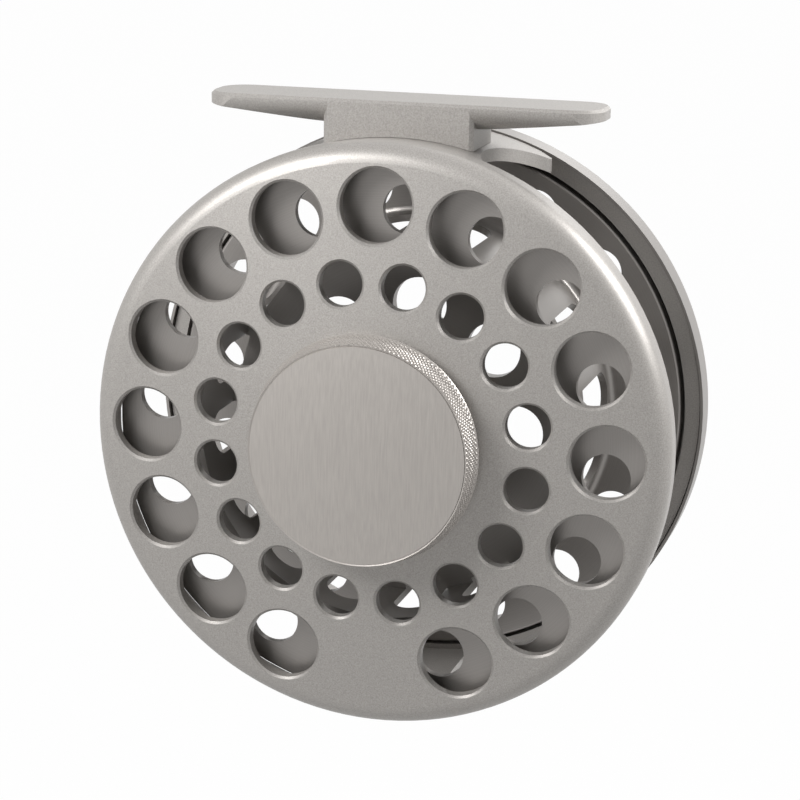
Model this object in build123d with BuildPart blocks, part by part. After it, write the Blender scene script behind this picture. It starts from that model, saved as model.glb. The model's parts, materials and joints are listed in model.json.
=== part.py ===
from build123d import *
import os
from math import cos, hypot, radians, sin, sqrt

# A large-arbor fly reel. Millimetres, +Z up, +Y along the spool axis towards the handle.
# The origin is the middle of the foot's flat top, which the rod's reel seat clamps.
# A place along the axis is a station: its distance behind the face plate's edge plane.

# ================================================================ driving dimensions
# clearances
fit = 0.05                # radial, between pieces that turn on each other
seat = 0.02               # radial, between pieces that are fixed together
slack = 0.05              # along the axis, between pieces that turn on each other
play = 0.15               # round a piece that slides
clear = 0.3               # round a piece that must not touch its neighbour
over = 1.0                # how far a cut starts or ends outside the metal

# face plate
plate_r = 50.0            # outside radius
plate_wall = 2.2
face_rise = 3.1           # the face before the edge plane, at the big holes
dish = 0.12               # slope of the dished face
rim_round = 3.5           # rounding of the plate's outer edge
skirt_depth = 4.0         # the plate's rim behind the edge plane
hole_count = 16           # places in every ring of holes
rib = 3.18                # metal between neighbouring holes of the face
rim_land = 0.4            # between the big holes and the rounded edge
ring_step = 12.5          # from the big holes' circle in to the small holes'
hole_edge = 0.4           # softened front edges of the holes
cove_width = 2.0          # bevel inside the plate's rim, radially
cove_depth = 1.6          # the same bevel, along the axis
deck_sink = 0.55          # the flat under the knob, below the face round it
boss_wall = 4.8           # thickness of the centre boss

# cage
reel_width = 35.6         # edge plane to the back of the far ring
cage_wall = 2.6           # rim, saddle and lower bridge, radially
ring_width = 2.6          # far ring, along the axis
ring_inset = 0.95         # far ring's edge inside the plate's
saddle_inset = 0.5        # saddle and lower bridge inside the plate's edge
saddle_half = 21.9        # half width of the saddle where it is widest
saddle_waist = 13.9       # half width where it is narrowest
saddle_neck = 19.3        # half width at the far ring
saddle_corner = 1.25      # cut corners between the widest part and the neck, along the axis
scallop_land = 1.0        # straight edge between the hollowed side and the cut corner
scallop_lead = 5.5        # start of the hollow's curve, before the skirt's end
lower_half = 9.0          # half width of the lower bridge

# foot
foot_length = 68.5
foot_width = 13.4
foot_end_flat = 3.0       # straight stretch of each rounded tip
foot_setback = 16.3       # foot's middle, behind the edge plane
foot_tip = 2.0            # wing thickness at the tips
foot_root = 4.3           # wing thickness at the stem
foot_belly = 3.6          # rounding of the wings' undersides
foot_height = 5.5         # foot's top above the saddle
foot_bevel = 0.5          # softened edge of the flat top
stem_length = 26.0
stem_bevel = 0.7          # softened upright corners of the stem
foot_seam = 0.06          # between the stem's hollow underside and the saddle
foot_screw_r = 1.5
foot_screw_spacing = 14.0
foot_head_r = 2.7
foot_head = 1.2           # height of a screw's head
foot_head_sink = 0.1      # head below the saddle's underside
foot_thread_top = 2.0     # metal above the screws' ends
foot_socket_r = 1.1       # hexagon socket, to its corners
foot_socket = 0.7         # depth of the socket

# spindle and knob
spindle_r = 3.0
spindle_shoulder = 1.4    # height of the flange against the boss
spindle_flange = 1.2      # thickness of that flange
knob_r = 19.65
knob_taper = 1.0          # the knob's face inside its widest part
knob_grip = 4.5           # knurled side, from the face to the widest part
knob_undercut = 0.75      # the skirt's end inside the widest part
knob_lip = 0.3            # the knob's rim round its cap
knob_crown = 0.9          # height of the domed cap above that rim
knob_skirt = 2.25         # wall of the knob's skirt
knob_gap = 0.45           # between the skirt and the face
knob_web = 1.85           # knob's web on the spindle's end
knob_cap_wall = 1.25
knob_head = 1.4           # height of the knob screw's head
knob_head_r = 2.7
knob_screw_r = 1.5
knob_thread = 5.0         # screw's length in the spindle
bore_step = 1.3           # the knob's counterbore beyond the spindle
washer_wall = 0.7
collar_wall = 1.2         # tube that guides the drag nut
deck_margin = 0.6         # the recess's edge inside the skirt
detent_angle = 210.0
detent_depth = 3.2
ball_r = 1.0
coil_r = 0.85             # detent spring
coil_bore = 0.45

# drag
pin_r = 0.9
pin_land = 1.0            # metal round the push pins
nut_gap = 0.1             # before and behind the drag nut's travel
nut_wall = 0.8
press_travel = 0.6        # travel of the drag press from free to full drag
press_gap = 0.7           # between the boss and the pressure plate
press_wall = 1.2
spring_wall = 0.7
spring_inset = 2.0        # wave spring's bore, beyond the discs'
disc_wall = 0.8
disc_gap = 0.8            # between the discs and the housing
disc_lug = 3.0            # width of the steel disc's lugs
cork_wall = 2.0
drag_hub_wall = 2.0
spline = 1.1              # height of the drag hub's splines
spline_width = 2.0
seal_wall = 0.9
seal_inset = 0.2
housing_wall = 1.6
housing_flange = 1.5      # thickness of the housing's flange
housing_lip = 3.4         # the flange beyond the housing
boss_margin = 0.1         # the boss beyond that flange
housing_screw_r = 0.95
housing_head_r = 1.5
housing_head = 1.0
housing_thread = 2.8

# click
click_gap = 1.7           # between the housing and the click gear
gear_wall = 1.7
gear_margin = 0.1         # tooth tips beyond the spool's hub
gear_teeth = 48
tooth = 0.9
pawl_length = 3.0         # from the tooth tips to the pawl's pivot
pawl_half = 1.7           # half width at the pivot
pawl_cheek = 1.3          # half width, and its distance from the pivot
pawl_tip_gap = 0.12
pivot_land = 0.2          # the housing beyond the pivot pin
pin_end = 0.5             # the pivot pin beyond the gear
leaf = 0.4                # thickness of the pawl's spring
leaf_width = 3.4
leaf_offset = 2.6         # spring's place beside the pawl

# one-way clutch and bearing
roller_r = 0.9
roller_gap = 0.03
clutch_shell = 0.8
clutch_lead = 0.9         # clutch behind the hub's front
clutch_wall = 2.0         # between clutch and bearing
cage_end = 0.5            # cage inside the shell, at each end
roller_end = 1.5          # rollers inside the shell, at each end
bearing_width = 3.5
bearing_wall = 3.8        # from the spindle to the bearing's outside
bearing_ball_r = 0.9
race_gap = 0.5            # each race from the balls' circle
groove_gap = 0.04
ball_cage_half = 1.2      # half the length of the ball cage
ball_cage_wall = 0.25     # half its thickness
pocket_gap = 0.06
bearing_lip = 0.9         # shoulder that carries the bearing
clip_wall = 0.6
clip_lip = 0.4            # depth of the clip's groove
bearing_end = 0.35        # hub behind the clip

# spool
flange_gap = 2.4          # near flange behind the edge plane
flange_wall = 1.5
flange_clear = 0.65       # near flange inside the cage
far_lead = 0.5            # far flange before the far ring's front
far_wall = 1.7
far_clear = 1.55          # far flange inside the cage
far_ring_gap = 0.65       # between the far flange and the far ring
winding_depth = 12.65     # drum to the far flange's edge
drum_wall = 1.2
drum_fillet = 1.3
spool_hole_r = 4.15
spool_hole_land = 2.65    # between the holes and the far flange's edge
spool_turn = -5.8         # rest angle of the flange holes
slot_width = 7.6
slot_start = 4.3          # the drum's slots behind the near flange
slot_end = 1.4            # and before the far flange
slot_turn = 7.5
web_wall = 2.4
web_setback = 5.6         # web behind the hub's front
web_hole_count = 8
web_hole_r = 4.8
web_land = 4.0            # between the hub and the web's holes
web_turn = -5.5
hub_wall = 4.0            # spool's hub round the bearing
rim_gap = 0.7             # palming rim behind the far ring
rim_wall = 2.1
rim_inset = 0.2           # palming rim inside the plate's edge
rim_sleeve = 2.45         # wall of the sleeve that carries the rim
lip_gap = 0.25            # between the far ring and the palming rim's lip
lip_lead = 1.0            # the lip's edge before the far ring's front

# quick release
cap_sink = 0.2            # cap before the palming rim's back
cap_inset = 0.2           # cap inside the hub
cap_front_wall = 0.9
cap_end_wall = 0.7
cap_bevel = 0.8
cap_screw_r = 0.8
cap_head_r = 1.3
cap_head = 0.5
cap_thread = 3.0
latch_wall = 0.9
latch_side = 0.6          # latch beside the spindle
latch_end = 3.7           # latch below the groove
latch_travel = 3.0
latch_button = 0.4        # pad outside the cap when pressed
pocket_end = 0.6          # cap below the latch's pocket
groove_depth = 0.7
spindle_tip = 1.1         # spindle behind its groove
tip_bevel = 0.6
latch_coil = 0.2          # wall of the latch's spring

# handle and counterweight
handle_place = 6.5        # hole places from the top, between two holes
stud_shoulder_r = 3.2
stud_clear = 1.15         # between the shoulder and the rim's sleeve
stud_screw_r = 1.5
stud_r = 2.0
stud_end = 2.2            # stud's end inside the grip
shoulder_end = 0.4        # shoulder behind the palming rim
grip_length = 23.0
grip_r = 6.4
grip_head_r = 3.2         # retaining screw's head
grip_head = 0.9
grip_screw_r = 0.98
grip_thread = 5.0
grip_washer_r = 4.2
grip_washer = 0.5
weight_sink = 0.2         # counterweight before the rim's back
weight_screw_r = 1.2
weight_head_r = 2.3
weight_head = 0.7

# ================================================================ derived radii
hole_pitch = 360 / hole_count
half_pitch_sine = sin(radians(hole_pitch / 2))
big_ring_r = (plate_r - rim_round - rim_land + rib / 2) / (1 + half_pitch_sine)
big_hole_r = big_ring_r * half_pitch_sine - rib / 2
small_ring_r = big_ring_r - ring_step
small_hole_r = small_ring_r * half_pitch_sine - rib / 2
cage_in = plate_r - cage_wall
flange_r = cage_in - flange_clear
far_flange_r = cage_in - far_clear
ring_in = far_flange_r + far_ring_gap
ring_r = plate_r - ring_inset
drum_r = far_flange_r - winding_depth
drum_in = drum_r - drum_wall
spool_ring_r = far_flange_r - spool_hole_land - spool_hole_r
rim_r = plate_r - rim_inset
lip_in = ring_r + lip_gap
saddle_r = plate_r - saddle_inset
rim_in = far_flange_r - rim_sleeve
bearing_r = spindle_r + bearing_wall
bearing_ring_r = (spindle_r + bearing_r) / 2
hub_r = bearing_r + hub_wall
web_ring_r = hub_r + web_land + web_hole_r
drag_hub_r = spindle_r + drag_hub_wall
spline_r = drag_hub_r + spline
seal_r = drag_hub_r + seal_wall
roller_ring_r = drag_hub_r + roller_r + roller_gap
clutch_bore = roller_ring_r + roller_r + roller_gap
clutch_shell_r = clutch_bore + clutch_shell
gear_r = hub_r + gear_margin
gear_root_r = gear_r - tooth
pawl_pivot_r = gear_r + pawl_length
housing_r = pawl_pivot_r + pin_r + pivot_land
housing_in = housing_r - housing_wall
housing_flange_r = housing_r + housing_lip
housing_screw_ring = (housing_r + housing_flange_r) / 2
boss_r = housing_flange_r + boss_margin
drag_r = housing_in - disc_gap
disc_bore = spline_r + clear
press_bore = drag_hub_r + clear
pin_ring_r = press_bore + pin_r
collar_r = pin_ring_r + pin_r + pin_land
knob_skirt_in = knob_r - knob_skirt
knob_face_r = knob_r - knob_taper
knob_cap_r = knob_face_r - knob_lip
deck_r = knob_skirt_in - deck_margin
detent_ring_r = (collar_r + collar_wall + knob_skirt_in) / 2
counterbore_r = spindle_r + bore_step
release_cap_r = hub_r - cap_inset
cap_screw_ring = (bearing_r + clip_lip + hub_r) / 2
groove_r = spindle_r - groove_depth
latch_width = 2 * (spindle_r + latch_side)
handle_r = rim_in - stud_clear - stud_shoulder_r
handle_angle = 90 + spool_turn + handle_place * hole_pitch


def face_station(r):
    """Station of the dished face at radius r."""
    return -face_rise - dish * (big_ring_r - r)


# ================================================================ derived stations
# knob, from the deck forwards
deck = face_station(deck_r) + deck_sink
nut_back = deck - nut_gap - press_travel
nut_front = nut_back - nut_wall
knob_under = nut_front - nut_gap
counterbore_back = knob_under - knob_web
journal_front = counterbore_back - slack
washer_front = journal_front - washer_wall
knob_head_front = washer_front - knob_head
knob_cap_back = knob_head_front - nut_gap
knob_front = knob_cap_back - knob_cap_wall
knob_skirt_end = face_station(knob_r) - knob_gap
ball_middle = knob_under + slack + ball_r
detent_end = deck + detent_depth

# drag, from the boss backwards
boss_back = deck + boss_wall
spindle_flange_back = boss_back + spindle_flange
drag_hub_front = spindle_flange_back + slack
press_front = boss_back + press_gap
spring_front = press_front + press_wall + press_travel + slack
stator_front = spring_front + spring_wall + slack
cork_a_front = stator_front + disc_wall + slack
rotor_front = cork_a_front + cork_wall + slack
cork_b_front = rotor_front + disc_wall + slack
housing_end = cork_b_front + cork_wall + slack
housing_back = housing_end + housing_wall
housing_flange_back = boss_back + housing_flange
gear_front = housing_back + click_gap
hub_front = gear_front + gear_wall
clutch_front = hub_front + clutch_lead

# spool and cage
ring_front = reel_width - ring_width
near_front = flange_gap
near_back = near_front + flange_wall
far_front = ring_front - far_lead
far_back = far_front + far_wall
rim_front = reel_width + rim_gap
lip_front = ring_front - lip_lead
trim_front = lip_front - lip_gap
rim_back = rim_front + rim_wall
web_front = hub_front + web_setback
web_back = web_front + web_wall

# quick release and bearing, from the palming rim forwards
cap_back = rim_back - cap_sink
cap_hollow_back = cap_back - cap_end_wall
spindle_back = cap_hollow_back - clear
groove_back = spindle_back - spindle_tip
latch_back = groove_back - play
latch_front = latch_back - latch_wall
groove_front = latch_front - play
hub_back = latch_front - play - cap_front_wall
clip_back = hub_back - bearing_end
clip_front = clip_back - clip_wall
bearing_back = clip_front - slack
bearing_front = bearing_back - bearing_width
bearing_middle = (bearing_front + bearing_back) / 2
clutch_back = bearing_front - clutch_wall
drag_hub_back = bearing_front - clear

# handle
shoulder_back = rim_back + shoulder_end
grip_front = shoulder_back + grip_washer + slack
grip_back = grip_front + grip_length
stud_back = grip_back - stud_end

# heights
axis_drop = plate_r + foot_height
seat_sag = cage_in - sqrt(cage_in ** 2 - (foot_screw_spacing / 2) ** 2)
saddle_under = cage_in - seat_sag - axis_drop
foot_pocket_top = saddle_under + foot_head_sink + foot_head

SPOOL_AXIS = Axis((0, 0, -axis_drop), (0, 1, 0))
SECTION = Plane(origin=(0, -foot_setback, -axis_drop), x_dir=(0, 1, 0), z_dir=(-1, 0, 0))


# ================================================================ helpers
def station(v):
    """A plane across the axis at station v, facing the knob side."""
    return Plane(origin=(0, v - foot_setback, -axis_drop), x_dir=(1, 0, 0), z_dir=(0, -1, 0))


def polar(r, angle):
    """The (across, up) place at a radius and angle about the spool axis."""
    return (r * cos(radians(angle)), r * sin(radians(angle)))


def around(r, count, start=0.0):
    """Evenly spaced places on a circle about the spool axis."""
    return [polar(r, start + 360 * k / count) for k in range(count)]


def nearest_corner(profile, v, r):
    """The corner of a (station, radius) profile that lies nearest to a point."""
    return profile.vertices().sort_by_distance((v, r, 0))[0]


def turned(points):
    """A solid of revolution about the spool axis from (station, radius) points."""
    with BuildPart() as body:
        with BuildSketch(SECTION):
            with BuildLine():
                Polyline(*points, close=True)
            make_face()
        revolve(axis=SPOOL_AXIS)
    return body


def ring(front, back, inner, outer):
    """A plain ring between two stations."""
    return turned([(front, inner), (front, outer), (back, outer), (back, inner)])


def posts(front, back, radius, places, bore=0.0):
    """Cylinders, or tubes, along the axis between two stations, one at each place."""
    with BuildPart() as body:
        with BuildSketch(station(back)):
            with Locations(*places):
                Circle(radius)
                if bore:
                    Circle(bore, mode=Mode.SUBTRACT)
        extrude(amount=back - front)
    return body


def screws(tip, neck, top, thread_r, head_r, places):
    """Screws along the axis with their heads towards the handle side."""
    threads = posts(tip, neck, thread_r, places)
    heads = posts(neck, top, head_r, places)
    with BuildPart() as body:
        add(threads.part)
        add(heads.part)
    return body


def uprights(bottom, top, radius):
    """Two upright cylinders at the foot screws' places, between two heights."""
    with BuildPart() as body:
        with BuildSketch(Plane.XY.offset(bottom)):
            with GridLocations(foot_screw_spacing, 1, 2, 1):
                Circle(radius)
        extrude(amount=top - bottom)
    return body


written = []


def finish(body, name):
    """Labels a sub-part and writes its STEP file."""
    body.part.label = name
    os.makedirs("parts", exist_ok=True)
    export_step(body.part, "parts/" + name + ".step")
    written.append(name)


# ================================================================ frame
big_places = around(big_ring_r, hole_count, 90)
big_places.remove(min(big_places, key=lambda place: place[1]))
small_places = around(small_ring_r, hole_count, 90 + hole_pitch / 2)
pin_places = around(pin_ring_r, 3, 90)
housing_places = around(housing_screw_ring, 3, 30)


def bridge(outline, above, hollows=()):
    """The part of the cage's sleeve that lies over or under a plan outline, less some hollows."""
    side = 1 if above else -1
    with BuildPart() as body:
        with BuildSketch(station(reel_width)):
            Circle(saddle_r)
            Circle(cage_in, mode=Mode.SUBTRACT)
        extrude(amount=reel_width - skirt_depth + over)
        with BuildSketch(Plane.XY.offset(-axis_drop)):
            with BuildLine():
                Polyline(*outline, close=True)
            make_face()
        extrude(amount=side * (plate_r + over), mode=Mode.INTERSECT)
        for hollow in hollows:
            add(hollow.part, mode=Mode.SUBTRACT)
    return body


def scallops():
    """The upright hollows at the saddle's two sides."""
    front = skirt_depth - scallop_lead
    back = trim_front - saddle_corner - scallop_land
    middle = (front + back) / 2 - foot_setback
    depth = saddle_half - saddle_waist
    radius = ((back - front) ** 2 / 4 + depth ** 2) / (2 * depth)
    side = saddle_waist + radius
    with BuildPart() as body:
        with BuildSketch(Plane.XY.offset(-axis_drop)):
            with Locations((side, middle), (-side, middle)):
                Circle(radius)
        extrude(amount=plate_r + over)
    return body


def plan(half_widths):
    """A symmetrical plan outline from (half width, station) pairs."""
    right = [(half, v - foot_setback) for half, v in half_widths]
    return right + [(-x, y) for x, y in reversed(right)]


def front_rims(body, places, hole_r, ring_r):
    """The front edges of the face holes at some places."""
    middle = face_station(ring_r) + plate_wall / 2 - foot_setback

    def is_rim(edge):
        at = edge.position_at(0.5)
        away = min(hypot(at.X - x, at.Z + axis_drop - z) for x, z in places)
        return abs(away - hole_r) < fit and at.Y < middle and edge.geom_type != GeomType.LINE

    return body.edges().filter_by(is_rim)


def make_frame():
    """Face plate, saddle, lower bridge and far ring, all one piece."""
    sleeve_front = skirt_depth - over
    outline = plan([(saddle_half, sleeve_front), (saddle_half, trim_front - saddle_corner),
                    (saddle_neck, trim_front), (saddle_neck, reel_width)])
    saddle = bridge(outline, above=True, hollows=[scallops()])
    lip_room = ring(trim_front, reel_width + over, ring_r, plate_r + over)
    lower = bridge(plan([(lower_half, sleeve_front), (lower_half, reel_width)]), above=False)
    far_ring = ring(ring_front, reel_width, ring_in, ring_r)
    face_front = face_station(0) - over
    thread_end = boss_back - housing_thread - slack
    holes = [posts(face_front, skirt_depth, big_hole_r, big_places),
             posts(face_front, skirt_depth, small_hole_r, small_places)]
    cuts = [posts(face_front, skirt_depth, pin_r + fit, pin_places),
            posts(thread_end, boss_back, housing_screw_r + seat, housing_places),
            posts(deck - over, detent_end, ball_r + fit, [polar(detent_ring_r, detent_angle)]),
            uprights(saddle_under - over, 0, foot_screw_r + seat),
            uprights(saddle_under - over, foot_pocket_top, foot_head_r + seat)]
    edge = face_station(plate_r)
    with BuildPart() as frame:
        with BuildSketch(SECTION) as profile:
            with BuildLine():
                Polyline((deck, spindle_r + seat), (deck, deck_r),
                         (face_station(deck_r + deck_sink / 2), deck_r + deck_sink / 2), (edge, plate_r),
                         (skirt_depth, plate_r), (skirt_depth, cage_in),
                         (face_station(cage_in) + plate_wall + cove_depth, cage_in),
                         (face_station(cage_in - cove_width) + plate_wall, cage_in - cove_width),
                         (face_station(boss_r) + plate_wall, boss_r), (boss_back, boss_r),
                         (boss_back, spindle_r + seat), close=True)
            make_face()
            fillet(nearest_corner(profile, edge, plate_r), rim_round)
        revolve(axis=SPOOL_AXIS)
        for hole in holes:
            add(hole.part, mode=Mode.SUBTRACT)
        chamfer(front_rims(frame, big_places, big_hole_r, big_ring_r), hole_edge)
        chamfer(front_rims(frame, small_places, small_hole_r, small_ring_r), hole_edge)
        for piece in (saddle, lower, far_ring):
            add(piece.part)
        add(lip_room.part, mode=Mode.SUBTRACT)
        for cut in cuts:
            add(cut.part, mode=Mode.SUBTRACT)
    finish(frame, "frame")


# ================================================================ foot
def make_foot():
    """The foot: two tapered wings with rounded undersides, on a stem that sits on the saddle."""
    half = foot_length / 2
    stem = stem_length / 2
    buried = foot_height + cage_wall + over
    threads = uprights(-buried, -foot_thread_top + nut_gap, foot_screw_r + seat)
    with BuildPart() as belly:
        with BuildSketch(Plane.YZ.offset(-half)) as section:
            with Locations((0, -foot_root / 2)):
                Rectangle(foot_width, foot_root)
            fillet(section.vertices().group_by(Axis.Y)[0], foot_belly)
        extrude(amount=foot_length)
    with BuildPart() as reel_foot:
        with BuildSketch(Plane.XZ.offset(-foot_width / 2)):
            with BuildLine():
                Polyline((-half, 0), (half, 0), (half, -foot_tip), (stem, -foot_root),
                         (-stem, -foot_root), (-half, -foot_tip), close=True)
            make_face()
        extrude(amount=foot_width)
        add(belly.part, mode=Mode.INTERSECT)
        with Locations((0, 0, -buried / 2)):
            Box(stem_length, foot_width, buried)
        with BuildSketch(Plane.XY):
            RectangleRounded(foot_length, foot_width, (foot_width - foot_end_flat) / 2)
        extrude(amount=-buried - over, mode=Mode.INTERSECT)
        corners = reel_foot.edges().filter_by(Axis.Z).filter_by(
            lambda e: abs(abs(e.center().X) - stem) < fit and e.center().Z < -foot_root)
        chamfer(corners, stem_bevel)
        with BuildSketch(station(foot_setback + foot_width)):
            Circle(saddle_r + foot_seam)
        extrude(amount=2 * foot_width, mode=Mode.SUBTRACT)
        chamfer(reel_foot.faces().sort_by(Axis.Z)[-1].edges(), foot_bevel)
        add(threads.part, mode=Mode.SUBTRACT)
    finish(reel_foot, "reel_foot")


def make_foot_screws():
    """Two socket screws that hold the foot from inside the saddle."""
    bottom = saddle_under + foot_head_sink
    heads = uprights(bottom, foot_pocket_top, foot_head_r)
    threads = uprights(bottom, -foot_thread_top, foot_screw_r)
    with BuildPart() as screws_body:
        add(heads.part)
        add(threads.part)
        with BuildSketch(Plane.XY.offset(bottom)):
            with GridLocations(foot_screw_spacing, 1, 2, 1):
                RegularPolygon(foot_socket_r, 6)
        extrude(amount=foot_socket, mode=Mode.SUBTRACT)
    finish(screws_body, "foot_screws")


# ================================================================ spindle and knob
def make_spindle():
    """The fixed spindle, with a flange at the boss and a groove for the latch."""
    flange = spindle_r + spindle_shoulder
    bore = knob_screw_r + seat
    bore_end = journal_front + knob_thread + nut_gap
    finish(turned([(journal_front, bore), (journal_front, spindle_r), (boss_back, spindle_r),
                   (boss_back, flange), (spindle_flange_back, flange), (spindle_flange_back, spindle_r),
                   (groove_front, spindle_r), (groove_front, groove_r), (groove_back, groove_r),
                   (groove_back, spindle_r), (spindle_back - tip_bevel, spindle_r),
                   (spindle_back, spindle_r - tip_bevel), (spindle_back, 0), (bore_end, 0),
                   (bore_end, bore)]), "spindle")


def make_knob():
    """The drag knob: a skirted disc with a collar that guides the drag nut."""
    cap_seat = knob_cap_r + seat
    collar_end = deck - slack
    finish(turned([(knob_cap_back, counterbore_r), (knob_cap_back, cap_seat), (knob_front, cap_seat),
                   (knob_front, knob_face_r), (knob_front + knob_grip, knob_r),
                   (knob_skirt_end, knob_r - knob_undercut), (knob_skirt_end, knob_skirt_in),
                   (knob_under, knob_skirt_in),
                   (knob_under, collar_r + collar_wall), (collar_end, collar_r + collar_wall),
                   (collar_end, collar_r), (knob_under, collar_r), (knob_under, spindle_r + fit),
                   (counterbore_back, spindle_r + fit), (counterbore_back, counterbore_r)]), "drag_knob")


def make_knob_parts():
    """The knob's cap, and the screw and washer under it."""
    dome_r = (knob_cap_r ** 2 + knob_crown ** 2) / (2 * knob_crown)
    crown = (knob_front - knob_crown, 0)
    half_way = (knob_front - knob_crown + dome_r - sqrt(dome_r ** 2 - knob_cap_r ** 2 / 4), knob_cap_r / 2)
    with BuildPart() as knob_cap:
        with BuildSketch(SECTION):
            with BuildLine():
                ThreePointArc(crown, half_way, (knob_front, knob_cap_r))
                Polyline((knob_front, knob_cap_r), (knob_cap_back, knob_cap_r), (knob_cap_back, 0), crown)
            make_face()
        revolve(axis=SPOOL_AXIS)
    finish(knob_cap, "knob_cap")
    finish(ring(washer_front, journal_front, knob_screw_r + seat, counterbore_r - clear), "knob_washer")
    tip = journal_front + knob_thread
    finish(turned([(knob_head_front, 0), (knob_head_front, knob_head_r), (washer_front, knob_head_r),
                   (washer_front, knob_screw_r), (tip, knob_screw_r), (tip, 0)]), "knob_screw")


def make_detent():
    """The ball that clicks under the knob, and its spring in the boss."""
    place = polar(detent_ring_r, detent_angle)
    with BuildPart() as detent_ball:
        with Locations((place[0], ball_middle - foot_setback, place[1] - axis_drop)):
            Sphere(ball_r)
    finish(detent_ball, "detent_ball")
    finish(posts(ball_middle + ball_r + seat, detent_end, coil_r, [place], coil_bore), "detent_spring")


# ================================================================ drag
def make_press():
    """The nut on the knob, its push pins and the pressure plate."""
    finish(ring(nut_front, nut_back, spindle_r + clear, collar_r - fit), "drag_nut")
    finish(posts(nut_back, press_front, pin_r, pin_places), "push_pins")
    finish(ring(press_front, press_front + press_wall, press_bore, drag_r), "pressure_plate")


def make_discs():
    """The wave spring and the stack of steel and cork discs."""
    spring_bore = disc_bore + spring_inset
    finish(ring(spring_front, spring_front + spring_wall, spring_bore, drag_r - clear), "wave_spring")
    with BuildPart() as stator_disc:
        with BuildSketch(station(stator_front + disc_wall)):
            Circle(drag_r)
            with PolarLocations(drag_r, 3):
                Rectangle(2 * (disc_gap - play), disc_lug)
            Circle(disc_bore, mode=Mode.SUBTRACT)
        extrude(amount=disc_wall)
    finish(stator_disc, "stator_disc")
    finish(ring(cork_a_front, cork_a_front + cork_wall, disc_bore, drag_r), "cork_disc_front")
    finish(ring(cork_b_front, cork_b_front + cork_wall, disc_bore, drag_r), "cork_disc_rear")
    with BuildPart() as rotor_disc:
        with BuildSketch(station(rotor_front + disc_wall)):
            Circle(drag_r)
            Circle(drag_hub_r + fit, mode=Mode.SUBTRACT)
            with PolarLocations(drag_hub_r, 4):
                Rectangle(2 * (spline + fit), spline_width + 2 * fit, mode=Mode.SUBTRACT)
        extrude(amount=disc_wall)
    finish(rotor_disc, "rotor_disc")


def make_housing():
    """The drag's housing, the screws that hold it to the boss, and its seal."""
    pivot_hole = posts(housing_end - over, housing_back + over, pin_r + seat, [(0, pawl_pivot_r)])
    screw_holes = posts(boss_back - over, housing_flange_back + over, housing_screw_r + seat, housing_places)
    with BuildPart() as drag_housing:
        with BuildSketch(SECTION):
            with BuildLine():
                Polyline((boss_back, housing_in), (boss_back, housing_flange_r),
                         (housing_flange_back, housing_flange_r), (housing_flange_back, housing_r),
                         (housing_back, housing_r), (housing_back, seal_r), (housing_end, seal_r),
                         (housing_end, housing_in), close=True)
            make_face()
        revolve(axis=SPOOL_AXIS)
        add(pivot_hole.part, mode=Mode.SUBTRACT)
        add(screw_holes.part, mode=Mode.SUBTRACT)
    finish(drag_housing, "drag_housing")
    finish(screws(boss_back - housing_thread, housing_flange_back, housing_flange_back + housing_head,
                  housing_screw_r, housing_head_r, housing_places), "housing_screws")
    finish(ring(housing_end + seal_inset, housing_back - seal_inset, drag_hub_r + fit, seal_r - seat),
           "housing_seal")


def make_drag_hub():
    """The tube that the one-way clutch grips, splined to the rotor disc."""
    with BuildPart() as drag_hub:
        with BuildSketch(station(drag_hub_back)):
            Circle(drag_hub_r)
            Circle(spindle_r + fit, mode=Mode.SUBTRACT)
        extrude(amount=drag_hub_back - drag_hub_front)
        with BuildSketch(station(rotor_front + disc_wall)):
            with PolarLocations(drag_hub_r, 4):
                Rectangle(2 * spline, spline_width)
            Circle(spindle_r + fit, mode=Mode.SUBTRACT)
        extrude(amount=disc_wall)
    finish(drag_hub, "drag_hub")


# ================================================================ click
def make_click():
    """The toothed click ring on the hub, and the pawl with its pin and leaf spring."""
    pivot = (0, pawl_pivot_r)
    shoulder = pawl_pivot_r - pawl_cheek
    teeth = [polar(gear_r if k % 2 else gear_root_r, 180 * k / gear_teeth) for k in range(2 * gear_teeth)]
    with BuildPart() as click_gear:
        with BuildSketch(station(hub_front)):
            with BuildLine():
                Polyline(*teeth, close=True)
            make_face()
            Circle(clutch_shell_r + clear, mode=Mode.SUBTRACT)
        extrude(amount=gear_wall)
    finish(click_gear, "click_gear")
    with BuildPart() as click_pawl:
        with BuildSketch(station(hub_front - play)):
            with BuildLine():
                Polyline((-pawl_half, pawl_pivot_r), (-pawl_cheek, shoulder), (0, gear_r + pawl_tip_gap),
                         (pawl_cheek, shoulder), (pawl_half, pawl_pivot_r), close=True)
            make_face()
            with Locations(pivot):
                Circle(pawl_half)
                Circle(pin_r + fit, mode=Mode.SUBTRACT)
        extrude(amount=gear_wall - 2 * play)
    finish(click_pawl, "click_pawl")
    finish(posts(housing_end + nut_gap, hub_front + pin_end, pin_r, [pivot]), "pawl_pin")
    with BuildPart() as pawl_spring:
        with BuildSketch(station(hub_front - clear)):
            with Locations((-leaf_offset, pawl_pivot_r - leaf)):
                Rectangle(leaf, leaf_width)
        extrude(amount=hub_front - clear - housing_back)
    finish(pawl_spring, "pawl_spring")


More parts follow.
